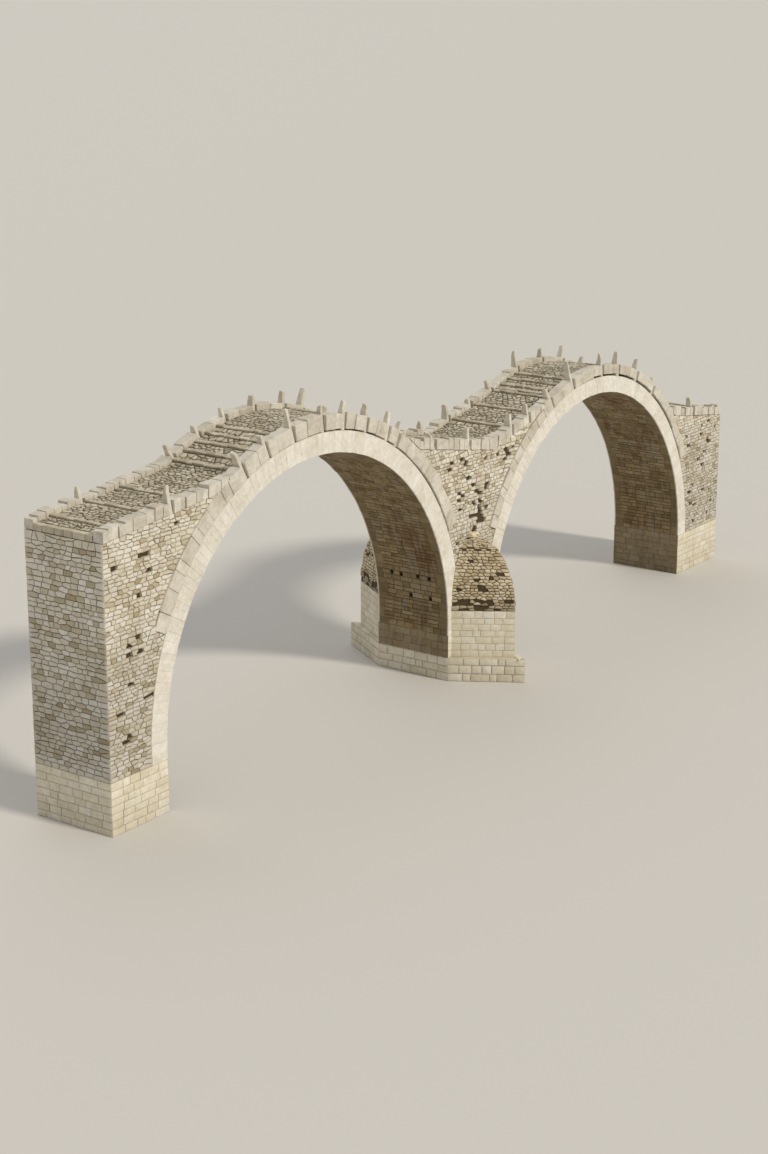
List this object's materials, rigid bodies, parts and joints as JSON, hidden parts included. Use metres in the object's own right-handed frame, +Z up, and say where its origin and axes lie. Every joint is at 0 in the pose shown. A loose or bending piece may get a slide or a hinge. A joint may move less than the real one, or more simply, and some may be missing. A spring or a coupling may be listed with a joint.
{
  "type": "stone arch bridge",
  "caption": "Humpbacked stone footbridge of two unequal round arches on a river pier with pointed cutwaters and upright edge stones.",
  "frame": {"origin": "ground level under the middle of the bridge, midway between its two ends and its two faces", "axes": "+X along the bridge towards the lower arch, +Y across it towards the back, +Z up"},
  "size_m": [39.7, 7.99, 11.8531],
  "materials": {
    "arch_stone": "dressed pale limestone, dry face",
    "base_stone": "smooth coursed limestone",
    "cap_rubble": "brown limestone rubble",
    "cobble_paving": "rough river stone paving",
    "hood_stone": "dressed limestone, weathered",
    "kerb_stone": "rough limestone edging",
    "rubble_core": "limestone rubble in lime mortar",
    "spandrel_rubble": "random limestone rubble in lime mortar",
    "step_stone": "rough limestone rows",
    "upright_stone": "split limestone slab",
    "vault_stone": "coursed limestone in shade, damp stained"
  },
  "bodies": {
    "root": {"back_cutwater": "base_stone", "back_cutwater_cap": "cap_rubble", "back_kerb": "kerb_stone", "front_cutwater": "base_stone", "front_cutwater_cap": "cap_rubble", "front_kerb": "kerb_stone", "left_abutment": "base_stone", "left_fill": "rubble_core", "left_spandrel_back": "spandrel_rubble", "left_spandrel_front": "spandrel_rubble", "main_hood_back": "hood_stone", "main_hood_front": "hood_stone", "main_paving": "cobble_paving", "main_ring_back_left": "arch_stone", "main_ring_back_right": "arch_stone", "main_ring_front_left": "arch_stone", "main_ring_front_right": "arch_stone", "main_step_rows": "step_stone", "main_upright_stones_back": "upright_stone", "main_upright_stones_front": "upright_stone", "main_vault_left": "vault_stone", "main_vault_right": "vault_stone", "middle_fill": "rubble_core", "middle_spandrel_back": "spandrel_rubble", "middle_spandrel_front": "spandrel_rubble", "pier_footing": "base_stone", "pier_shaft": "base_stone", "right_abutment": "base_stone", "right_fill": "rubble_core", "right_hood_back": "hood_stone", "right_hood_front": "hood_stone", "right_paving": "cobble_paving", "right_ring_back_left": "arch_stone", "right_ring_back_right": "arch_stone", "right_ring_front_left": "arch_stone", "right_ring_front_right": "arch_stone", "right_spandrel_back": "spandrel_rubble", "right_spandrel_front": "spandrel_rubble", "right_step_rows": "step_stone", "right_upright_stones_back": "upright_stone", "right_upright_stones_front": "upright_stone", "right_vault_left": "vault_stone", "right_vault_right": "vault_stone"}
  },
  "joints": []
}
